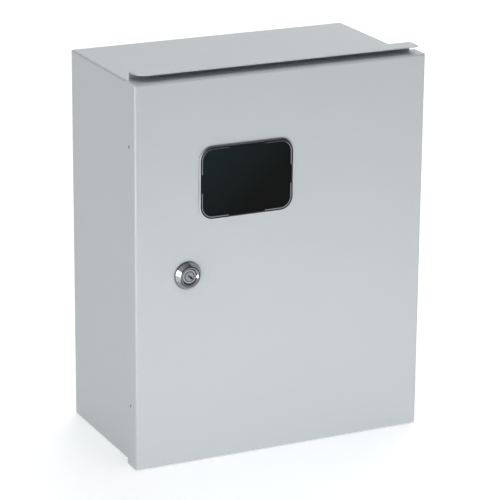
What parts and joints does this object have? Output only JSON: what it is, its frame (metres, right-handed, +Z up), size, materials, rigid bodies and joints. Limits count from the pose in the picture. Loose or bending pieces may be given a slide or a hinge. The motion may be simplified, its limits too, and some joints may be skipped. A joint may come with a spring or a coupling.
{
  "type": "electrical enclosure",
  "caption": "Wall-hung sheet-steel meter cabinet with a rain visor, a hinged door with a smoked window and a cam lock, and a mounting panel.",
  "frame": {"origin": "middle of the four wall-fixing holes, on the outside of the back wall", "axes": "+X to the right seen from the front, +Y out of the back wall towards the wall it hangs on, +Z up"},
  "size_m": [0.3118, 0.1765, 0.395],
  "materials": {
    "grey_paint": "light grey powder coat, fine texture",
    "galvanised": "galvanised sheet",
    "zinc_steel": "bright zinc plating",
    "brass": "drawn bar",
    "blue_plastic": "moulded",
    "foam_gasket": "poured foam",
    "rubber": "moulded rubber",
    "smoked_pane": "smoked clear plastic",
    "chrome": "polished",
    "lock_steel": "satin"
  },
  "bodies": {
    "cabinet": {"body_shell": "grey_paint", "rain_visor": "grey_paint", "mounting_panel": "galvanised", "panel_studs": "zinc_steel", "panel_spacers": "zinc_steel", "panel_washers": "zinc_steel", "panel_nuts": "zinc_steel", "din_rail": "galvanised", "rail_screws": "zinc_steel", "rail_nuts": "zinc_steel", "neutral_bar": "brass", "neutral_holders": "blue_plastic", "earth_bar": "brass", "earth_standoffs": "zinc_steel", "bar_screws": "zinc_steel", "bar_nuts": "zinc_steel", "terminal_screws": "zinc_steel", "gland_plate": "galvanised", "gland_gasket": "foam_gasket", "gland_studs": "zinc_steel", "gland_washers": "zinc_steel", "gland_nuts": "zinc_steel", "cable_grommets": "rubber", "body_earth_stud": "zinc_steel", "body_earth_washer": "zinc_steel", "body_earth_nuts": "zinc_steel", "hinge_body_leaves": "zinc_steel", "hinge_pins": "zinc_steel"},
    "door": {"door_panel": "grey_paint", "door_gasket": "foam_gasket", "window_pane": "smoked_pane", "window_seal": "foam_gasket", "hinge_door_leaves": "zinc_steel", "hinge_screws": "zinc_steel", "lock_housing": "chrome", "lock_washer": "zinc_steel", "lock_nut": "zinc_steel", "door_earth_stud": "zinc_steel", "door_earth_washer": "zinc_steel", "door_earth_nuts": "zinc_steel"},
    "lock_rotor": {"lock_cylinder": "lock_steel", "lock_cam": "zinc_steel", "cam_screw": "zinc_steel"}
  },
  "joints": [
    {"name": "door_hinge", "type": "hinge", "parent": "cabinet", "child": "door", "pos_m": [0.1498, -0.159, 0], "axis": [0, 0, 1], "range_deg": [0, 110]},
    {"name": "lock_turn", "type": "hinge", "parent": "door", "child": "lock_rotor", "pos_m": [-0.1005, -0.17, 0.0021], "axis": [0, -1, 0], "range_deg": [0, 90]}
  ]
}
